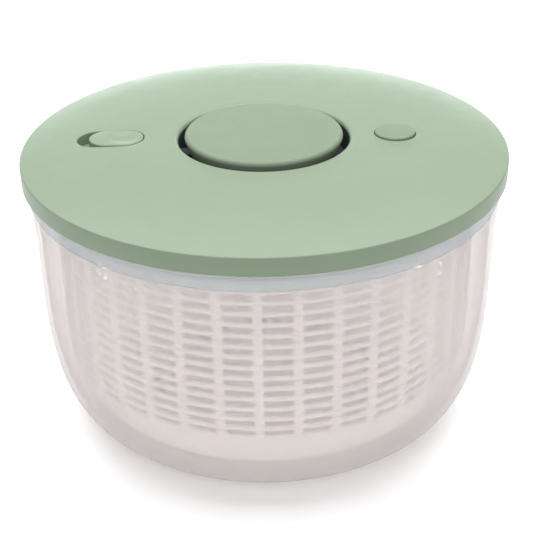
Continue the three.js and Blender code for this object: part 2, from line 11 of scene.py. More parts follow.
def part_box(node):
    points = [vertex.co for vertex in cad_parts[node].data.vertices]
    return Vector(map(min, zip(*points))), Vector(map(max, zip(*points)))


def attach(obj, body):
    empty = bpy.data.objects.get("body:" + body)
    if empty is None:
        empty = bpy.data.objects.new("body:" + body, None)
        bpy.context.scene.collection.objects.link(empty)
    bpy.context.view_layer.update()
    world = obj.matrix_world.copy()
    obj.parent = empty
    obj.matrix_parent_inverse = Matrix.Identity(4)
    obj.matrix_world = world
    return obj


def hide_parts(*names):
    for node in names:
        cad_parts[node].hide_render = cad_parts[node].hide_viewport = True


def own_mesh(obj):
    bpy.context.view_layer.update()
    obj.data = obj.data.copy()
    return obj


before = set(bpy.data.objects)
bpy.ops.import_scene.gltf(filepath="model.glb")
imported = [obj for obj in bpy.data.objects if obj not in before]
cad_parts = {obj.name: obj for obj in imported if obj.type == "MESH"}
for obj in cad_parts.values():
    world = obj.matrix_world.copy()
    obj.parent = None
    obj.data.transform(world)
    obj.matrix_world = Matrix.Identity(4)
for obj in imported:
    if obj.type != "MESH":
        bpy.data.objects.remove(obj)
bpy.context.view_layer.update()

MM = 0.001
ROUND = 192                      # steps round the big shells
FINE = 96                        # steps round the smaller turned pieces
SHARP = math.radians(34)         # edges steeper than this stay crisp

# ---- sizes taken from the frame ----
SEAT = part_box("bowl")[1].z / MM + 0.3        # height of the lid skirt's lower edge
LID_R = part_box("lid_cover")[1].x / MM
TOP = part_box("pump_cap")[1].z / MM - SEAT     # pump button's top, as a lid height
SLIDER_LOW, SLIDER_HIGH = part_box("lock_slider")
PAD_LOW, PAD_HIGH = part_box("brake_pad")
BRAKE_X = (PAD_LOW.x + PAD_HIGH.x) / 2 / MM

# ---- lid ----
SKIRT_H = 9.7
CROWN_H = 15.25
LID_WALL = 2.2
EDGE_R = 0.9
DOME_LOW = SKIRT_H + EDGE_R * 0.55
DOME_POWER = 6
WELL_R = 48
LIP_R = 2.4
PLUNGER_R = 30
SLOT_X = -85.7
SLOT_LENGTH = 37.6
SLOT_WIDTH = 22.8
POCKET_FLOOR = 8
BRAKE_R = 11.3
BRAKE_WELL_FLOOR = 4
WELL_FLOOR_BOTTOM = -2           # underside of the floor round the pump, as a lid height
SCREW_HOLE_R = 1.75

# ---- bowl ----
BOWL_WALL = 2.4
BOWL_SHOULDER_R = 130.5
BOWL_SHOULDER_Z = SEAT - 32.5
BOWL_BASE_R = 75.1
BOWL_BASE_Z = 1.4
BOWL_POWER = 3.56
BOWL_FLOOR = BOWL_BASE_Z + BOWL_WALL + 0.6       # its inside
RIM_R = 133.7
MOUTH_R = 129.6
BAND_R = 131.6
BAND_TOP = SEAT - 2.1
BAND_BOTTOM = SEAT - 10.1
FOOT_R_IN = 62
FOOT_R_OUT = 70

# ---- basket ----
BASKET_R = 118.8
BASKET_TOP = SEAT - 9
BASKET_FLOOR = 12
BASKET_WALL = 2.2
BASKET_SHOULDER_Z = 70
BASKET_BASE_R = 78
BASKET_POWER = 2.9
RIBS = 36
RIB_WIDTH = 4.8
SLOT_ROWS = 14
SLOT_PITCH = 6.35
SLOT_TOP = SEAT - 19.4
BAR_H = 2.1                      # height of the bars between the rows of slots
BASKET_TURN = math.radians(-2.4)
BASKET_KEYS = 6                  # pairs of ribs inside the rim, one for each lug of the turntable
KEY_SPREAD = 0.055               # half the angle between the ribs of a pair
CORNER_R = 1.1                   # corners of the slots
HUB_R_IN = 11.2
HUB_R_OUT = 14.5
HUB_H = 6
FLOOR_ROWS = [(58, 72), (43, 57), (28, 42)]      # radial slots in the basket's floor

# ---- drive levels, as lid heights ----
PLATE_TOP = -6
PLATE_BOTTOM = -8
FLANGE_TOP = -34.4
FLANGE_H = 2.5
HOUSING_R = 38.2
HOUSING_WALL = 2.8
HOUSING_FLOOR_TOP = -48.5
HOUSING_FLOOR_BOTTOM = -50.5
HUB_FLOOR_TOP = -56.3
HUB_FLOOR_BOTTOM = -58.3
DISC_TOP = -11
DISC_BOTTOM = -13
DISC_R = 112.4
PLUG_R = 127.4                   # the inner plate's edge, which fills the bowl's mouth

# ---- camera, in metres and mm of lens ----
CAMERA_LENS = 82.83
CAMERA_BACK = 0.63666
CAMERA_UP = 0.28149              # above the lid skirt's lower edge
CAMERA_TURN = math.radians(-0.019)
CAMERA_DOWN = math.radians(28.82)
CAMERA_ROLL = math.radians(-1.014)


# ---------------------------------------------------------------- outlines

def polar(radius, angle):
    return radius * math.cos(angle), radius * math.sin(angle)


def rounded(corners, closed=True, steps=5):
    """Turns each corner (r, z, radius) into an arc of that radius. Corners without a radius stay."""
    points = []
    count = len(corners)
    for i, corner in enumerate(corners):
        here = Vector(corner[:2])
        end_point = not closed and i in (0, count - 1)
        if len(corner) < 3 or end_point:
            points.append(tuple(here))
            continue
        before = Vector(corners[i - 1][:2]) - here
        after = Vector(corners[(i + 1) % count][:2]) - here
        half = before.angle(after) / 2
        reach = min(corner[2] / math.tan(half), 0.49 * before.length, 0.49 * after.length)
        radius = reach * math.tan(half)
        middle = here + (before.normalized() + after.normalized()).normalized() * (radius / math.sin(half))
        first = here + before.normalized() * reach - middle
        last = here + after.normalized() * reach - middle
        start = math.atan2(first.y, first.x)
        sweep = math.atan2(last.y, last.x) - start
        sweep = (sweep + math.pi) % (2 * math.pi) - math.pi
        for k in range(steps + 1):
            angle = start + sweep * k / steps
            points.append((middle.x + radius * math.cos(angle), middle.y + radius * math.sin(angle)))
    return points


def super_curve(top_r, top_z, base_r, base_z, power, steps):
    """A superellipse quarter listed from its base up to its top."""
    points = []
    for i in range(steps + 1):
        angle = math.pi / 2 * (1 - i / steps)
        r = base_r + (top_r - base_r) * max(math.cos(angle), 0) ** (2 / power)
        z = top_z - (top_z - base_z) * math.sin(angle) ** (2 / power)
        points.append((r, z))
    return points


def circle(x, radius, count):
    return [(x + radius * math.cos(2 * math.pi * i / count), radius * math.sin(2 * math.pi * i / count))
            for i in range(count)]


def stadium(x, length, width, count):
    """A slot shape with round ends, centred on x, with its points evenly spread by angle at each end."""
    half = (length - width) / 2
    points = []
    quarter = count // 2
    for i in range(quarter + 1):
        angle = -math.pi / 2 + math.pi * i / quarter
        points.append((x + half + width / 2 * math.cos(angle), width / 2 * math.sin(angle)))
    for i in range(quarter + 1):
        angle = math.pi / 2 + math.pi * i / quarter
        points.append((x - half + width / 2 * math.cos(angle), width / 2 * math.sin(angle)))
    return points


def dome(x, y):
    """Lid height of the dome above a point."""
    r = math.hypot(x, y)
    return DOME_LOW + (CROWN_H - DOME_LOW) * (1 - (r / LID_R) ** DOME_POWER)


def inside(point, loop):
    """Whether a point lies inside a closed loop."""
    x, y = point
    hit = False
    for (x1, y1), (x2, y2) in zip(loop, loop[1:] + loop[:1]):
        if (y1 > y) != (y2 > y) and x < (x2 - x1) * (y - y1) / (y2 - y1) + x1:
            hit = not hit
    return hit


# ---------------------------------------------------------------- mesh building

class Shell:
    """Collects loops of points in millimetres and the faces between them."""

    def __init__(self):
        self.points = []
        self.faces = []
        self.slots = []

    def loop(self, points):
        start = len(self.points)
        self.points.extend(points)
        return list(range(start, len(self.points)))

    def face(self, corners, slot=0):
        self.faces.append(corners)
        self.slots.append(slot)

    def strip(self, a, b, slot=0):
        """Quads between two closed loops. A loop of one point is a pole."""
        count = max(len(a), len(b))
        for i in range(count):
            j = (i + 1) % count
            if len(a) == 1:
                self.face((a[0], b[j], b[i]), slot)
            elif len(b) == 1:
                self.face((a[i], a[j], b[0]), slot)
            else:
                self.face((a[i], a[j], b[j], b[i]), slot)

    def ladder(self, rings, closed, slot_of=None):
        """Joins rings of 3-D points, one after another."""
        loops = [self.loop(ring) for ring in rings]
        pairs = list(zip(loops, loops[1:]))
        if closed:
            pairs.append((loops[-1], loops[0]))
        for a, b in pairs:
            slot = slot_of(self.points[a[0]], self.points[b[0]]) if slot_of else 0
            self.strip(a, b, slot)

    def revolve(self, profile, x=0, count=ROUND, slot_of=None):
        """Turns a profile of (radius, height) about the upright axis at x."""
        touches_axis = profile[0][0] == 0 and profile[-1][0] == 0
        rings = []
        for r, z in profile:
            if r == 0:
                rings.append([(x, 0, z)])
            else:
                rings.append([(px, py, z) for px, py in circle(x, r, count)])
        self.ladder(rings, not touches_axis, slot_of)

    def sheet(self, outer, holes, height, inner_points=()):
        """A surface over the area between an outer loop and its holes."""
        flat = list(outer)
        edges = [(i, (i + 1) % len(outer)) for i in range(len(outer))]
        for hole in holes:
            start = len(flat)
            edges += [(start + i, start + (i + 1) % len(hole)) for i in range(len(hole))]
            flat += hole
        flat += inner_points
        result = geometry.delaunay_2d_cdt([Vector(p) for p in flat], edges, [], 0, 1e-6)
        spots, triangles = result[0], result[2]
        first = self.loop([(p.x, p.y, height(p.x, p.y)) for p in spots])[0]
        for triangle in triangles:
            middle = sum((spots[i] for i in triangle), Vector((0, 0))) / 3
            if inside(middle, outer) and not any(inside(middle, hole) for hole in holes):
                self.face(tuple(first + i for i in triangle))

    def build(self, name, materials, weld=0.0005):
        mesh = bpy.data.meshes.new(name)
        mesh.from_pydata([Vector(p) * MM for p in self.points], [], self.faces)
        mesh.polygons.foreach_set("material_index", self.slots)
        bm = bmesh.new()
        bm.from_mesh(mesh)
        bmesh.ops.remove_doubles(bm, verts=bm.verts, dist=weld * MM)
        loose = [v for v in bm.verts if not v.link_faces]
        bmesh.ops.delete(bm, geom=loose, context="VERTS")
        bmesh.ops.recalc_face_normals(bm, faces=bm.faces)
        bm.to_mesh(mesh)
        bm.free()
        mesh.shade_smooth()
        mesh.set_sharp_from_angle(angle=SHARP)
        for material in materials:
            mesh.materials.append(material)
        piece = bpy.data.objects.new(name, mesh)
        bpy.context.scene.collection.objects.link(piece)
        return piece


def stands_for(piece, body, slot, *nodes):
    """Rides the piece on its body and hides the solids it replaces. The slot it is given is not used."""
    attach(piece, body)
    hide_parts(*nodes)


def turned(name, profile, material, x=0, count=FINE):
    shell = Shell()
    shell.revolve(profile, x, count)
    return shell.build(name, [material])


def lid_level(profile):
    """Raises a profile given in lid heights to its place above the floor."""
    return [(r, z + SEAT) for r, z in profile]


# ---------------------------------------------------------------- materials

def new_material(name):
    material = bpy.data.materials.new(name)
    material.use_nodes = True
    nodes = material.node_tree.nodes
    return material, nodes, material.node_tree.links, nodes["Principled BSDF"]


def noise(nodes, links, scale, detail):
    """Noise in object space. Its scale is in features per metre."""
    place = nodes.new("ShaderNodeTexCoord")
    pattern = nodes.new("ShaderNodeTexNoise")
    pattern.inputs["Scale"].default_value = scale
    pattern.inputs["Detail"].default_value = detail
    pattern.inputs["Roughness"].default_value = 0.55
    links.new(place.outputs["Object"], pattern.inputs["Vector"])
    return pattern.outputs["Fac"]


def spread(nodes, links, value, low, high):
    """Maps a noise value to a range."""
    remap = nodes.new("ShaderNodeMapRange")
    remap.inputs["From Min"].default_value = 0.3
    remap.inputs["From Max"].default_value = 0.7
    remap.inputs["To Min"].default_value = low
    remap.inputs["To Max"].default_value = high
    links.new(value, remap.inputs["Value"])
    return remap.outputs["Result"]


def two_tone(nodes, links, value, first, second):
    """A ramp from one colour to the other over the middle of the value's range."""
    ramp = nodes.new("ShaderNodeValToRGB")
    ramp.color_ramp.elements[0].position = 0.3
    ramp.color_ramp.elements[0].color = (*first, 1)
    ramp.color_ramp.elements[1].position = 0.7
    ramp.color_ramp.elements[1].color = (*second, 1)
    links.new(value, ramp.inputs["Fac"])
    return ramp.outputs["Color"]


def bump(nodes, links, value, strength, distance):
    node = nodes.new("ShaderNodeBump")
    node.inputs["Strength"].default_value = strength
    node.inputs["Distance"].default_value = distance
    links.new(value, node.inputs["Height"])
    return node.outputs["Normal"]


def moulded(name, colour, roughness, drift, gloss_drift, grain, grain_depth, gloss=0.5):
    """Moulded plastic: a faint drift of colour and gloss over a fine eroded grain."""
    material, nodes, links, surface = new_material(name)
    dark = [c * (1 - drift) for c in colour]
    light = [min(c * (1 + drift), 1) for c in colour]
    cloud = noise(nodes, links, 28, 2)
    links.new(two_tone(nodes, links, cloud, dark, light), surface.inputs["Base Color"])
    flow = noise(nodes, links, 90, 3)
    links.new(spread(nodes, links, flow, roughness - gloss_drift, roughness + gloss_drift),
              surface.inputs["Roughness"])
    surface.inputs["Specular IOR Level"].default_value = gloss
    fine = noise(nodes, links, grain, 2)
    links.new(bump(nodes, links, fine, grain_depth, 0.00003), surface.inputs["Normal"])
    return material, surface


def glow_through(material, surface, colour, share):
    """Lets part of the light that falls on one side of a thin wall leave by the other."""
    nodes, links = material.node_tree.nodes, material.node_tree.links
    inner = nodes.new("ShaderNodeBsdfTranslucent")
    inner.inputs["Color"].default_value = (*colour, 1)
    both = nodes.new("ShaderNodeMixShader")
    both.inputs["Fac"].default_value = share
    links.new(surface.outputs["BSDF"], both.inputs[1])
    links.new(inner.outputs["BSDF"], both.inputs[2])
    links.new(both.outputs["Shader"], nodes["Material Output"].inputs["Surface"])
    return both


def see_through(material, body, tint, opacity, edge_opacity):
    """Opacity that grows where the wall is seen edge-on, as does the depth of its tint."""
    nodes, links = material.node_tree.nodes, material.node_tree.links
    rim = nodes.new("ShaderNodeLayerWeight")
    rim.inputs["Blend"].default_value = 0.3
    edge = nodes.new("ShaderNodeMapRange")
    edge.inputs["To Min"].default_value = opacity
    edge.inputs["To Max"].default_value = edge_opacity
    links.new(rim.outputs["Facing"], edge.inputs["Value"])
    clear = nodes.new("ShaderNodeBsdfTransparent")
    deep = [c * 0.8 for c in tint]
    links.new(two_tone(nodes, links, rim.outputs["Facing"], tint, deep), clear.inputs["Color"])
    mix = nodes.new("ShaderNodeMixShader")
    links.new(edge.outputs["Result"], mix.inputs["Fac"])
    links.new(clear.outputs["BSDF"], mix.inputs[1])
    links.new(body.outputs["Shader"], mix.inputs[2])
    links.new(mix.outputs["Shader"], nodes["Material Output"].inputs["Surface"])


def clear_plastic(name, colour, tint, roughness, grain, grain_depth, opacity, edge_opacity):
    material, surface = moulded(name, colour, roughness, 0.012, 0.03, grain, grain_depth)
    surface.inputs["IOR"].default_value = 1.46
    body = glow_through(material, surface, colour, 0.5)
    see_through(material, body, tint, opacity, edge_opacity)
    return material


def make_materials():
    kinds = {}
    kinds["sage"] = moulded("sage_plastic", (0.194, 0.251, 0.174), 0.42, 0.015, 0.03, 1500, 0.10, 0.32)[0]
    kinds["soft"] = moulded("sage_soft_touch", (0.169, 0.216, 0.151), 0.62, 0.02, 0.04, 2200, 0.16, 0.3)[0]
    kinds["frosted"] = clear_plastic("frosted_plastic", (0.985, 0.945, 0.935), (0.968, 0.953, 0.95),
                                     0.4, 1600, 0.25, opacity=0.24, edge_opacity=0.44)
    # The band is smooth clear plastic. Its darker grey-blue colour is painted shade for the shadow under the
    # lid's skirt.
    kinds["band"] = clear_plastic("clear_band_painted_shade", (0.62, 0.675, 0.70), (0.93, 0.96, 0.98),
                                  0.15, 600, 0.04, opacity=0.58, edge_opacity=0.9)
    white, surface = moulded("white_plastic", (0.97, 0.96, 0.95), 0.38, 0.01, 0.04, 1200, 0.08)
    glow_through(white, surface, (0.97, 0.96, 0.95), 0.45)
    kinds["white"] = white
    kinds["acetal"] = moulded("acetal", (0.88, 0.87, 0.83), 0.3, 0.01, 0.03, 1800, 0.05)[0]
    kinds["silicone"] = moulded("silicone", (0.70, 0.72, 0.70), 0.55, 0.02, 0.05, 900, 0.12)[0]
    # Near-black painted shade: this colour stands in for the shadow in the well under the pump button, on
    # the sage lid.
    kinds["well"] = moulded("painted_shade_well", (0.018, 0.026, 0.032), 0.6, 0.05, 0.05, 1400, 0.1)[0]
    # Black acetal for the lock bolt. Its near-black also stands in as painted shade for the gap under the
    # pump button.
    kinds["dark"] = moulded("dark_acetal", (0.02, 0.025, 0.03), 0.4, 0.02, 0.04, 1800, 0.05)[0]
    kinds["rubber"] = moulded("grey_rubber", (0.27, 0.235, 0.22), 0.8, 0.04, 0.06, 1100, 0.3)[0]
    steel, surface = moulded("steel", (0.60, 0.61, 0.62), 0.28, 0.03, 0.08, 2600, 0.1)
    surface.inputs["Metallic"].default_value = 1
    kinds["steel"] = steel
    return kinds


# ---------------------------------------------------------------- bowl

def bowl(kinds):
    inner = super_curve(BOWL_SHOULDER_R - BOWL_WALL, BOWL_SHOULDER_Z, BOWL_BASE_R - 3, BOWL_FLOOR,
                        BOWL_POWER, 36)
    outer = super_curve(BOWL_SHOULDER_R, BOWL_SHOULDER_Z, BOWL_BASE_R, BOWL_BASE_Z, BOWL_POWER, 36)
    corners = [
        (0, BOWL_BASE_Z),
        (FOOT_R_IN - 0.3, BOWL_BASE_Z, 0.3),
        (FOOT_R_IN - 0.3, BOWL_BASE_Z + 1.4),
        (FOOT_R_OUT + 0.3, BOWL_BASE_Z + 1.4),
        (FOOT_R_OUT + 0.3, BOWL_BASE_Z, 0.3),
        *outer,
        (132.35, BAND_BOTTOM - 0.2, 0.5),
        (BAND_R, BAND_BOTTOM + 0.15, 0.2),
        (BAND_R, BAND_TOP, 0.5),
        (RIM_R - 0.25, BAND_TOP + 0.15, 0.5),
        (RIM_R, SEAT - 0.3, 0.5),
        (MOUTH_R, SEAT - 0.3, 0.6),
        *reversed(inner),
        (9, BOWL_FLOOR, 1.5),
        (5.5, BOWL_FLOOR + 6),
        (3, BOWL_FLOOR + 9, 1),
        (0, BOWL_FLOOR + 9.6),
    ]
    shell = Shell()

    # Slot 1 is the clear band, whose colour carries painted shade from the skirt above it.
    def which(a, b):
        return 1 if min(a[2], b[2]) > BAND_BOTTOM - 0.1 and max(a[2], b[2]) < BAND_TOP + 0.1 else 0
    shell.revolve(rounded(corners, closed=False), slot_of=which)
    piece = shell.build("bowl_shell", [kinds["frosted"], kinds["band"]])
    stands_for(piece, "base", "frosted_plastic", "bowl")


def foot_ring(kinds):
    profile = [(FOOT_R_IN, 2.5, 0.3), (FOOT_R_IN, 0, 0.7)]
    for i in range(3):
        middle = FOOT_R_IN + 2 + 2 * i
        profile += [(middle - 0.5, 0, 0.1), (middle, 0.5, 0.2), (middle + 0.5, 0, 0.1)]
    profile += [(FOOT_R_OUT, 0, 0.7), (FOOT_R_OUT, 2.5, 0.3)]
    piece = turned("foot_ring", rounded(profile), kinds["rubber"], count=ROUND)
    stands_for(piece, "base", "grey_rubber", "non_slip_ring")


# ---------------------------------------------------------------- basket

def basket_radius(z, offset):
    """Radius of the basket's wall at a height, with the inside at a positive offset."""
    if z >= BASKET_SHOULDER_Z:
        return BASKET_R - offset
    fall = (BASKET_SHOULDER_Z - z) / (BASKET_SHOULDER_Z - BASKET_FLOOR - offset)
    reach = max(1 - fall ** BASKET_POWER, 0) ** (1 / BASKET_POWER)
    return BASKET_BASE_R + (BASKET_R - offset - BASKET_BASE_R) * reach


class Slotted:
    """The basket's skin: rings of points with the same number of columns, so slots and bands join up."""

    def __init__(self, shell):
        self.shell = shell
        self.pitch = 2 * math.pi / RIBS

    def middles(self):
        """The angle at the middle of each column of slots."""
        return [BASKET_TURN - math.pi / 2 + (cell + 0.5) * self.pitch for cell in range(RIBS)]

    def ring(self, place, half):
        """One ring at (r, z). half is the angle from a slot's middle to its corner."""
        points = []
        for middle in self.middles():
            for turn in (-self.pitch / 2, -half, -half / 3, half / 3, half):
                x, y = polar(place[0], middle + turn)
                points.append((x, y, place[1]))
        return points

    def slots(self, low, high, half, bar, corner, outside, within):
        """A row of slots. outside(v) and within(v) give (r, z) on the two skins for v from low to high."""
        edge_low, edge_high = low + bar / 2, high - bar / 2
        ease = 0.3
        for middle in self.middles():
            border = self.border(low, high, edge_low + corner, edge_high - corner, half)
            loops = [self.lay(border, middle, outside, 0)]
            for skin, blend, grow in ((outside, 0, ease), (outside, ease, 0), (within, ease, 0),
                                      (within, 0, ease)):
                hole = self.hole(edge_low - grow, edge_high + grow, half, corner, grow)
                loops.append(self.lay(hole, middle, skin, blend if skin is outside else -blend))
            loops.append(self.lay(border, middle, within, 0))
            for a, b in zip(loops, loops[1:]):
                self.shell.strip(a, b)

    def border(self, low, high, side_low, side_high, half):
        out = self.pitch / 2
        return [(-out, low), (-half, low), (-half / 3, low), (half / 3, low), (half, low),
                (out, low), (out, side_low), (out, side_high),
                (out, high), (half, high), (half / 3, high), (-half / 3, high), (-half, high),
                (-out, high), (-out, side_high), (-out, side_low)]

    def hole(self, low, high, half, corner, grow):
        """A rounded slot outline in (angle, height). The corners reach past half by the corner's angle."""
        past = (corner + grow) / BASKET_R
        step = 1 - math.sqrt(0.5)
        return [(-half - past * (1 - step), low + corner * step), (-half, low), (-half / 3, low),
                (half / 3, low), (half, low),
                (half + past * (1 - step), low + corner * step), (half + past, low + corner),
                (half + past, high - corner),
                (half + past * (1 - step), high - corner * step), (half, high), (half / 3, high),
                (-half / 3, high), (-half, high),
                (-half - past * (1 - step), high - corner * step), (-half - past, high - corner),
                (-half - past, low + corner)]

    def lay(self, outline, middle, skin, inward):
        points = []
        for turn, v in outline:
            r, z = skin(v, inward)
            x, y = polar(r, middle + turn)
            points.append((x, y, z))
        return self.shell.loop(points)


def basket(kinds):
    shell = Shell()
    skin = Slotted(shell)
    half = math.pi / RIBS - (RIB_WIDTH / 2 + CORNER_R) / BASKET_R
    row_low = [SLOT_TOP - (row + 1) * SLOT_PITCH + BAR_H / 2 for row in range(SLOT_ROWS)]

    def outside(z, inward):
        return basket_radius(z, 0) - inward, z

    def within(z, inward):
        return basket_radius(z, BASKET_WALL) - inward, z

    for low in row_low:
        skin.slots(low, low + SLOT_PITCH, half, BAR_H, CORNER_R, outside, within)

    top = row_low[0] + SLOT_PITCH
    rim = rounded([
        (BASKET_R, top), (BASKET_R, BASKET_TOP - 8, 0.3), (BASKET_R + 0.5, BASKET_TOP - 7.6, 0.3),
        (BASKET_R + 0.5, BASKET_TOP - 3.6, 0.5), (BASKET_R + 2.2, BASKET_TOP - 3.3, 0.4),
        (BASKET_R + 2.2, BASKET_TOP, 0.9), (BASKET_R - 1.6, BASKET_TOP, 0.6),
        (BASKET_R - BASKET_WALL, BASKET_TOP - 2.5, 0.6), (BASKET_R - BASKET_WALL, top)],
        closed=False, steps=3)
    shell.ladder([skin.ring(place, half) for place in rim], closed=False)

    # Below the last row the wall curves into the floor, whose own slots are long and radial.
    floor_half = math.pi / RIBS * 0.42
    low = row_low[-1]

    def wall_below(offset):
        curve = super_curve(BASKET_R - offset, BASKET_SHOULDER_Z, BASKET_BASE_R, BASKET_FLOOR + offset,
                            BASKET_POWER, 60)
        below = [(r, z) for r, z in reversed(curve) if z < low - 0.6]
        return [(basket_radius(low, offset), low)] + below[::3] + [below[-1]]

    for offset in (0, BASKET_WALL):
        rings = wall_below(offset)
        places = []
        for k, place in enumerate(rings):
            share = k / (len(rings) - 1)
            places.append(skin.ring(place, half + (floor_half - half) * share))
        for r in (BASKET_BASE_R - 1, FLOOR_ROWS[0][1]):
            places.append(skin.ring((r, BASKET_FLOOR + offset), floor_half))
        shell.ladder(places, closed=False)
        gaps = [(FLOOR_ROWS[i][0], FLOOR_ROWS[i + 1][1]) for i in range(len(FLOOR_ROWS) - 1)]
        for a, b in gaps:
            shell.ladder([skin.ring((r, BASKET_FLOOR + offset), floor_half) for r in (a, b)], closed=False)

    def under(v, inward):
        return v, BASKET_FLOOR + inward

    def above(v, inward):
        return v, BASKET_FLOOR + BASKET_WALL + inward

    for a, b in FLOOR_ROWS:
        skin.slots(a, b, floor_half, 3, CORNER_R, under, above)

    hub = rounded([
        (FLOOR_ROWS[-1][0], BASKET_FLOOR), (HUB_R_IN, BASKET_FLOOR, 0.5),
        (HUB_R_IN, BASKET_FLOOR + HUB_H, 0.5),
        (HUB_R_OUT, BASKET_FLOOR + HUB_H, 0.8), (HUB_R_OUT, BASKET_FLOOR + BASKET_WALL, 1.2),
        (FLOOR_ROWS[-1][0], BASKET_FLOOR + BASKET_WALL)], closed=False, steps=3)
    shell.ladder([skin.ring(place, floor_half) for place in hub], closed=False)
    piece = shell.build("basket_shell", [kinds["white"]], weld=0.01)
    stands_for(piece, "basket", "white_plastic", "basket")


def basket_keys(kinds):
    """Pairs of ribs inside the rim that the turntable's lugs sit between."""
    shell = Shell()
    for i in range(BASKET_KEYS):
        for side in (-1, 1):
            turn = BASKET_TURN + 2 * math.pi * i / BASKET_KEYS + side * KEY_SPREAD
            outline = rounded([(BASKET_R - 4.4, -0.9, 0.6), (BASKET_R - 1.2, -0.9), (BASKET_R - 1.2, 0.9),
                               (BASKET_R - 4.4, 0.9, 0.6)], steps=3)
            spot = Matrix.Rotation(turn, 2)
            flat = [tuple(spot @ Vector(p)) for p in outline]
            cut = [tuple(spot @ (Vector(p) * 0.8 + Vector((BASKET_R - 2.2, 0)) * 0.2)) for p in outline]
            rings = [[(x, y, BASKET_TOP - 9) for x, y in cut], [(x, y, BASKET_TOP - 8.5) for x, y in flat],
                     [(x, y, BASKET_TOP - 0.9) for x, y in flat], [(x, y, BASKET_TOP - 0.5) for x, y in cut]]
            loops = [shell.loop(ring) for ring in rings]
            for a, b in zip(loops, loops[1:]):
                shell.strip(a, b)
            shell.face(tuple(loops[0]))
            shell.face(tuple(loops[-1]))
    piece = shell.build("basket_keys", [kinds["white"]])
    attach(piece, "basket")


def pivot_bush(kinds):
    profile = rounded([
        (9.3, BASKET_FLOOR - 1.4, 0.4), (13.5, BASKET_FLOOR - 1.4, 0.3), (13.5, BASKET_FLOOR - 0.3, 0.3),
        (10.9, BASKET_FLOOR - 0.3), (10.9, BASKET_FLOOR + 7.2, 0.8), (0, BASKET_FLOOR + 7.2),
        (0, BOWL_FLOOR + 9.9), (3.4, BOWL_FLOOR + 9.3, 0.6), (5.9, BOWL_FLOOR + 6.2, 0.6)])
    start = next(i for i, p in enumerate(profile) if p[0] == 0) + 1
    profile = profile[start:] + profile[:start]
    piece = turned("bush_cap", profile, kinds["acetal"])
    stands_for(piece, "pivot", "acetal", "pivot_bush")


# ---------------------------------------------------------------- lid

def lip(shell, outline, depth_r, floor, wall_slot=0, steps=6):
    """A rounded edge round a hole in the dome and the wall below it. outline(grow) gives the hole's loop."""
    rings = []
    for k in range(steps + 1):
        angle = math.pi / 2 * k / steps
        loop = outline(depth_r * (1 - math.sin(angle)))
        drop = depth_r * (1 - math.cos(angle))
        rings.append([(x, y, SEAT + dome(x, y) - drop) for x, y in loop])
    shell.ladder(rings, closed=False)
    foot = [(x, y, SEAT + floor) for x, y in outline(0)]
    shell.ladder([rings[-1], foot], closed=False, slot_of=lambda a, b: wall_slot)


def dome_grid(holes, low, high, clear):
    """Points spread over the dome, away from its holes."""
    points = []
    radius = low
    row = 0
    while radius < high:
        for i in range(ROUND // 2):
            spot = polar(radius, math.pi * (4 * i + row % 2 * 2) / ROUND)
            if all(min(math.dist(spot, edge) for edge in hole) > clear and not inside(spot, hole)
                   for hole in holes):
                points.append(spot)
        radius += 4
        row += 1
    return points


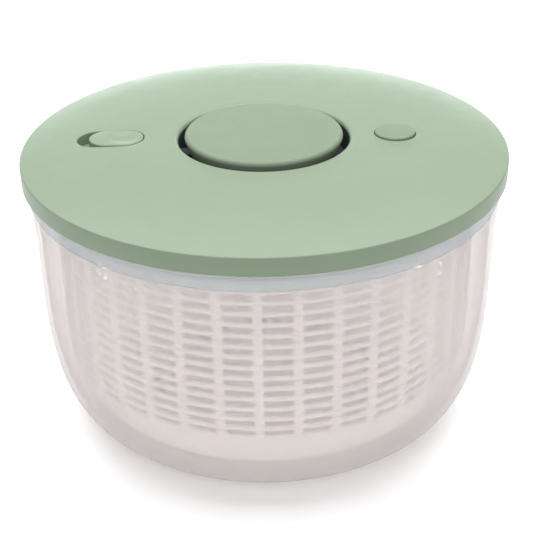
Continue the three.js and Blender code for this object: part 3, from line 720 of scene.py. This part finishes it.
def lid_cover(kinds):
    shell = Shell()
    lock_count = 64

    def aperture(grow):
        return circle(0, WELL_R + grow, ROUND)

    def pocket(grow):
        return stadium(SLOT_X, SLOT_LENGTH + 2 * grow, SLOT_WIDTH + 2 * grow, lock_count)

    def brake_well(grow):
        return circle(BRAKE_X, BRAKE_R + 0.3 + grow, FINE)

    slot_lip, brake_lip = 0.8, 0.5
    edge = LID_R - 2.2
    top_holes = [aperture(LIP_R), pocket(slot_lip), brake_well(brake_lip)]
    shell.sheet(circle(0, edge, ROUND), top_holes, lambda x, y: SEAT + dome(x, y),
                dome_grid(top_holes, 54, edge - 2, 2.2))
    # The wall below the aperture's lip takes the near-black painted shade of the second slot.
    lip(shell, aperture, LIP_R, 1.5, wall_slot=1)
    lip(shell, pocket, slot_lip, POCKET_FLOOR)
    lip(shell, brake_well, brake_lip, BRAKE_WELL_FLOOR)

    # Outer edge, skirt and underside.
    under_edge = LID_R - LID_WALL - 1
    under_z = dome(under_edge, 0) - LID_WALL
    skirt = rounded([
        (edge, dome(edge, 0)), (LID_R, dome(LID_R, 0), EDGE_R), (LID_R, 0, 0.5), (LID_R - LID_WALL, 0, 0.5),
        (LID_R - LID_WALL, under_z - 0.2, 0.8), (under_edge, under_z)], closed=False, steps=6)
    shell.ladder([[(x, y, z + SEAT) for x, y in circle(0, r, ROUND)] for r, z in skirt], closed=False)

    wall = 1.8
    under_holes = [aperture(2), pocket(wall), brake_well(wall)]
    shell.sheet(circle(0, under_edge, ROUND), under_holes, lambda x, y: SEAT + dome(x, y) - LID_WALL,
                dome_grid(under_holes, 54, under_edge - 2, 2.2))

    # Floor of the well round the pump button, in the near-black second slot: painted shade for the shadow
    # under the button.
    well = [(WELL_R, 1.5), (WELL_R - 0.6, 0.5), (WELL_R - 2, 0), (PLUNGER_R + 0.8, 0),
            (PLUNGER_R + 0.8, WELL_FLOOR_BOTTOM), (WELL_R + 1.4, WELL_FLOOR_BOTTOM),
            (WELL_R + 2, dome(WELL_R + 2, 0) - LID_WALL)]
    shell.ladder([[(x, y, z + SEAT) for x, y in circle(0, r, ROUND)] for r, z in well], closed=False,
                 slot_of=lambda a, b: 1)

    # Pockets of the lock and the brake, each a tub with a hole in its floor.
    def tub(outline, opening, floor, bottom):
        ends = []
        for loop, level in ((outline(0), floor), (outline(wall), bottom)):
            shell.sheet(loop, [opening], lambda x, y, level=level: SEAT + level)
            ends.append([(x, y, SEAT + level) for x, y in opening])
        shell.ladder(ends, closed=False)
        outer = outline(wall)
        shell.ladder([[(x, y, SEAT + dome(x, y) - LID_WALL) for x, y in outer],
                      [(x, y, SEAT + bottom) for x, y in outer]], closed=False)

    tub(pocket, stadium(SLOT_X, 24, 8, 32), POCKET_FLOOR, 7.2)
    tub(brake_well, circle(BRAKE_X, 6.5, 48), BRAKE_WELL_FLOOR, BRAKE_WELL_FLOOR - 2)
    piece = shell.build("lid_shell", [kinds["sage"], kinds["well"]])
    stands_for(piece, "lid", "sage_plastic", "lid_cover")


def underplate(kinds):
    """The plate with the plunger's housing, a hole for the brake and clearance holes for the screws."""
    tube = HOUSING_R + HOUSING_WALL
    near, far = tube + 2, PLUG_R - 4
    rim = rounded([
        (far, PLATE_BOTTOM), (PLUG_R, PLATE_BOTTOM, 0.8), (PLUG_R, -6.4, 0.2), (PLUG_R - 1, -6.4, 0.1),
        (PLUG_R - 1, -3.4, 0.1), (PLUG_R, -3.4, 0.2), (PLUG_R, 0.2, 0.6), (132.8, 0.2, 0.6),
        (132.8, 1.8, 0.5),
        (PLUG_R - 2.2, 1.8, 0.6), (PLUG_R - 2.2, PLATE_TOP, 1), (far, PLATE_TOP)], closed=False)
    top = WELL_FLOOR_BOTTOM - 0.3
    housing = rounded([
        (near, PLATE_TOP), (tube, PLATE_TOP, 0.8), (tube, top, 0.5), (HOUSING_R, top, 0.5),
        (HOUSING_R, HOUSING_FLOOR_TOP, 0.8), (9, HOUSING_FLOOR_TOP), (9, HOUSING_FLOOR_BOTTOM),
        (tube, HOUSING_FLOOR_BOTTOM, 3), (tube, PLATE_BOTTOM, 1), (near, PLATE_BOTTOM)], closed=False)
    shell = Shell()
    for profile in (rim, housing):
        rings = [[(x, y, z) for x, y in circle(0, r, ROUND)] for r, z in lid_level(profile)]
        shell.ladder(rings, closed=False)
    holes = [circle(BRAKE_X, 9, 48)]
    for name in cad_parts:
        if name.startswith("lid_screw"):
            low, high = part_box(name)
            spot = (low + high) / 2 / MM
            holes.append([(x, y + spot.y) for x, y in circle(spot.x, SCREW_HOLE_R, 16)])
    for level in (PLATE_BOTTOM, PLATE_TOP):
        shell.sheet(circle(0, far, ROUND), [circle(0, near, ROUND)] + holes, lambda x, y, z=level: SEAT + z)
    for hole in holes:
        shell.ladder([[(x, y, SEAT + level) for x, y in hole] for level in (PLATE_BOTTOM, PLATE_TOP)],
                     closed=False)
    piece = shell.build("inner_plate", [kinds["white"]])
    stands_for(piece, "lid", "clear_white_plastic", "lid_underplate")


def lid_seal(kinds):
    profile = rounded([(126.7, -6.1, 0.2), (127.9, -6.1, 0.3), (129.1, -5.2, 0.4), (129.1, -4.6, 0.4),
                       (127.9, -3.7, 0.3), (126.7, -3.7, 0.2)])
    piece = turned("seal_ring", lid_level(profile), kinds["silicone"], count=ROUND)
    stands_for(piece, "lid", "silicone", "lid_seal")


# ---------------------------------------------------------------- pump

def pump_cap(kinds):
    cap_r = 44.3
    edge = 2.3
    roof = TOP - 2.8
    shoulder = []
    for k in range(13):
        angle = math.pi / 2 * (1 - k / 12)
        shoulder.append((cap_r - edge + edge * math.cos(angle), TOP - edge + edge * math.sin(angle)))
    inner = rounded([
        (41, 6.6, 0.5), (39, 6.6, 0.3), (39, 2.8, 0.3), (40.1, 2.8, 0.3), (39.4, 1, 0.3), (37.2, 1, 0.3),
        (36.8, 6.6), (39, 9), (39, roof, 1.5), (0, roof)], closed=False)
    piece = turned("pump_button", lid_level([(0, TOP)] + shoulder + inner), kinds["soft"], count=ROUND)
    stands_for(piece, "pump", "sage_soft_touch", "pump_cap")


def plunger(kinds):
    inner = PLUNGER_R - 2.4
    bottom = FLANGE_TOP - FLANGE_H
    profile = rounded([
        (0, 8.3), (34, 8.3, 0.5), (34, 6.4, 0.5), (PLUNGER_R, 5, 0.6), (PLUNGER_R, FLANGE_TOP, 0.8),
        (36, FLANGE_TOP, 0.5), (36, bottom, 0.5), (inner - 1.6, bottom, 0.3), (inner - 1.6, bottom + 1.2),
        (inner, bottom + 1.2), (inner, 6.4, 1), (0, 6.4)], closed=False)
    piece = turned("pump_sleeve", lid_level(profile), kinds["white"])
    stands_for(piece, "pump", "white_plastic", "pump_plunger")


# ---------------------------------------------------------------- drive

def turntable(kinds):
    cup = HOUSING_R + HOUSING_WALL + 2.6
    shell = Shell()
    profile = rounded([
        (6.4, HUB_FLOOR_BOTTOM, 0.3), (30, HUB_FLOOR_BOTTOM, 3), (cup + 1.6, HOUSING_FLOOR_BOTTOM + 1, 4),
        (cup + 2.2, DISC_BOTTOM - 4, 2), (cup + 6.2, DISC_BOTTOM, 2), (DISC_R, DISC_BOTTOM, 0.8),
        (DISC_R, DISC_TOP, 0.8), (cup + 4, DISC_TOP, 1.5), (cup, DISC_TOP - 3.6, 1.5),
        (cup - 0.6, HOUSING_FLOOR_BOTTOM + 1.6, 3), (28.6, HUB_FLOOR_TOP, 1), (6.4, HUB_FLOOR_TOP, 0.3)])
    shell.revolve(lid_level(profile))
    for i in range(BASKET_KEYS):
        spot = Matrix.Rotation(BASKET_TURN + 2 * math.pi * i / BASKET_KEYS, 2)
        outline = rounded([(110.5, -5.4), (112.2, -4.6, 1), (115.6, -4.6, 1.2), (115.6, 4.6, 1.2),
                           (112.2, 4.6, 1), (110.5, 5.4)], steps=4)
        flat = [tuple(spot @ Vector(p)) for p in outline]
        levels = (DISC_BOTTOM + 0.05, DISC_TOP - 0.05)
        loops = [shell.loop([(x, y, SEAT + z) for x, y in flat]) for z in levels]
        shell.strip(*loops)
        shell.face(tuple(loops[0]))
        shell.face(tuple(loops[1]))
    piece = shell.build("turntable_disc", [kinds["white"]])
    stands_for(piece, "turntable", "white_plastic", "turntable")


def spring(name, x, radius, wire, low, high, turns, material):
    """A coil of round wire between two lid heights."""
    shell = Shell()
    per_turn = 40
    count = round(turns * per_turn)
    section = circle(0, wire / 2, 10)
    rings = []
    for i in range(count + 1):
        angle = 2 * math.pi * i / per_turn
        middle = SEAT + low + wire / 2 + (high - low - wire) * i / count
        rings.append([(*(Vector(polar(radius + across, angle)) + Vector((x, 0))), middle + up)
                      for across, up in section])
    shell.ladder(rings, closed=False)
    shell.face(tuple(range(len(section))))
    shell.face(tuple(range(len(shell.points) - len(section), len(shell.points))))
    return shell.build(name, [material])


def springs(kinds):
    low = HOUSING_FLOOR_TOP + 0.3
    piece = spring("return_coil", 0, 33.4, 1.6, low, low + 11, 4.6, kinds["steel"])
    stands_for(piece, "lid", "steel", "return_spring")
    seat, top, travel = 4.3, 11.6, 3
    piece = spring("brake_coil", BRAKE_X, 8.6, 0.8, seat, top, 4, kinds["steel"])
    stands_for(piece, "lid", "steel", "brake_spring")
    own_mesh(piece)


# ---------------------------------------------------------------- brake and lock

def brake_button(kinds):
    top = CROWN_H + 1.1
    profile = rounded([
        (0, top), (BRAKE_R, top, 0.9), (BRAKE_R, 12, 0.3), (5.9, 11.9, 0.3), (5.9, -4.9, 0.3), (0, -4.9)],
        closed=False)
    piece = turned("brake_knob", lid_level(profile), kinds["soft"], x=BRAKE_X)
    stands_for(piece, "brake", "sage_soft_touch", "brake_button")


def lock_slider(kinds):
    """A flat plate with round ends and a finger dimple at its inner end."""
    length = (SLIDER_HIGH.x - SLIDER_LOW.x) / MM
    width = (SLIDER_HIGH.y - SLIDER_LOW.y) / MM
    x = (SLIDER_HIGH.x + SLIDER_LOW.x) / 2 / MM
    top = SLIDER_HIGH.z / MM
    low = SLIDER_LOW.z / MM
    dish_x = x + (length - width) / 2
    dish_r, dish_depth, edge = 8.2, 1.0, 0.7
    count = 64

    def outline(grow):
        return stadium(x, length + 2 * grow, width + 2 * grow, count)

    shell = Shell()
    dish = circle(dish_x, dish_r + 0.4, FINE)
    shell.sheet(outline(-edge), [dish], lambda px, py: top)
    rings = []
    for k in range(6):
        angle = math.pi / 2 * k / 5
        rings.append([(px, py, top - edge * (1 - math.cos(angle)))
                      for px, py in outline(-edge * (1 - math.sin(angle)))])
    rings.append([(px, py, low + 3) for px, py in outline(0)])
    rings.append([(px, py, low + 2.6) for px, py in outline(-0.4)])
    shell.ladder(rings, closed=False)
    shell.sheet(outline(-0.4), [], lambda px, py: low + 2.6)
    bowl_rings = [[(px, py, top) for px, py in dish]]
    for k in range(9):
        share = 1 - k / 9
        depth = dish_depth * (1 - share ** 2) + 0.06
        bowl_rings.append([(px, py, top - depth) for px, py in circle(dish_x, dish_r * share, FINE)])
    bowl_rings.append([(dish_x, 0, top - dish_depth - 0.06)])
    shell.ladder(bowl_rings, closed=False)
    neck = rounded([(x - 6, -3.4, 0.6), (x + 6, -3.4, 0.6), (x + 6, 3.4, 0.6), (x - 6, 3.4, 0.6)], steps=3)
    loops = [shell.loop([(px, py, z) for px, py in neck]) for z in (low, low + 2.7)]
    shell.strip(*loops)
    for loop in loops:
        shell.face(tuple(loop))
    piece = shell.build("lock_plate", [kinds["sage"]])
    stands_for(piece, "lock", "sage_plastic", "lock_slider")


# ---------------------------------------------------------------- inner pieces that keep their solids

def inner_pieces(kinds):
    finishes = {
        "acetal": ["spiral_nut", "drive_spindle", "ratchet_wheel", "spindle_bearing"],
        "dark": ["lock_bolt"],
        "rubber": ["brake_pad"],
        "steel": [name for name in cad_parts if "screw" in name] + ["spindle_washer"],
    }
    for kind, names in finishes.items():
        for name in names:
            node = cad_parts[name]
            node.data.materials.clear()
            node.data.materials.append(kinds[kind])
            edge = node.modifiers.new("soft_edges", "BEVEL")
            edge.width = 0.00018
            edge.segments = 2
            edge.limit_method = "ANGLE"
            edge.angle_limit = math.radians(35)


# ---------------------------------------------------------------- studio

def area_light(name, place, target, width, depth, watts, colour=(1, 1, 1)):
    light = bpy.data.lights.new(name, "AREA")
    light.shape = "RECTANGLE"
    light.size = width
    light.size_y = depth
    light.energy = watts
    light.color = colour
    lamp = bpy.data.objects.new(name, light)
    bpy.context.scene.collection.objects.link(lamp)
    lamp.location = place
    lamp.rotation_euler = (Vector(target) - Vector(place)).to_track_quat("-Z", "Y").to_euler()


def studio():
    scene = bpy.context.scene
    scene.view_settings.view_transform = "Standard"
    world = bpy.data.worlds.new("studio")
    scene.world = world
    world.use_nodes = True
    world.node_tree.nodes["Background"].inputs["Color"].default_value = (0.95, 0.98, 1, 1)
    world.node_tree.nodes["Background"].inputs["Strength"].default_value = 0.16
    material, nodes, links, surface = new_material("floor_paper")
    surface.inputs["Roughness"].default_value = 0.9
    surface.inputs["Emission Color"].default_value = (1, 1, 1, 1)
    surface.inputs["Emission Strength"].default_value = 0.18
    paper = noise(nodes, links, 40, 2)
    links.new(two_tone(nodes, links, paper, (0.80, 0.80, 0.80), (0.82, 0.82, 0.82)),
              surface.inputs["Base Color"])
    mesh = bpy.data.meshes.new("floor")
    half = 4
    corners = [(-half, -half, 0), (half, -half, 0), (half, half, 0), (-half, half, 0)]
    mesh.from_pydata(corners, [], [(0, 1, 2, 3)])
    mesh.materials.append(material)
    floor = bpy.data.objects.new("floor", mesh)
    floor.location.z = -0.0002
    scene.collection.objects.link(floor)
    area_light("top_light", (0, 0.45, 1.5), (0, 0.25, 0.1), 2.4, 1.9, 58)
    area_light("front_light", (0, -1.6, 1.4), (0, 0, 0.1), 2.2, 1.2, 20)
    area_light("back_light", (0, 1.3, 0.2), (0, 0, 0.12), 1.9, 0.36, 9, (0.93, 0.97, 1))
    area_light("left_light", (-1.3, -0.2, 0.45), (0, 0, 0.1), 1.2, 0.8, 0.8, (0.95, 0.98, 1))
    area_light("right_light", (1.3, -0.2, 0.45), (0, 0, 0.1), 1.2, 0.8, 1.0, (0.95, 0.98, 1))


def camera():
    data = bpy.data.cameras.new("camera")
    data.lens = CAMERA_LENS
    data.sensor_width = 36
    data.clip_start = 0.01
    view = bpy.data.objects.new("camera", data)
    bpy.context.scene.collection.objects.link(view)
    place = Matrix.Translation((0, -CAMERA_BACK, SEAT * MM + CAMERA_UP))
    turn = Matrix.Rotation(CAMERA_TURN, 4, "Z")
    tilt = Matrix.Rotation(math.pi / 2 - CAMERA_DOWN, 4, "X")
    roll = Matrix.Rotation(CAMERA_ROLL, 4, "Z")
    view.matrix_world = place @ turn @ tilt @ roll
    bpy.context.scene.camera = view


camera()
studio()
kinds = make_materials()
bowl(kinds)
foot_ring(kinds)
basket(kinds)
basket_keys(kinds)
pivot_bush(kinds)
lid_cover(kinds)
underplate(kinds)
lid_seal(kinds)
pump_cap(kinds)
plunger(kinds)
turntable(kinds)
springs(kinds)
brake_button(kinds)
lock_slider(kinds)
inner_pieces(kinds)
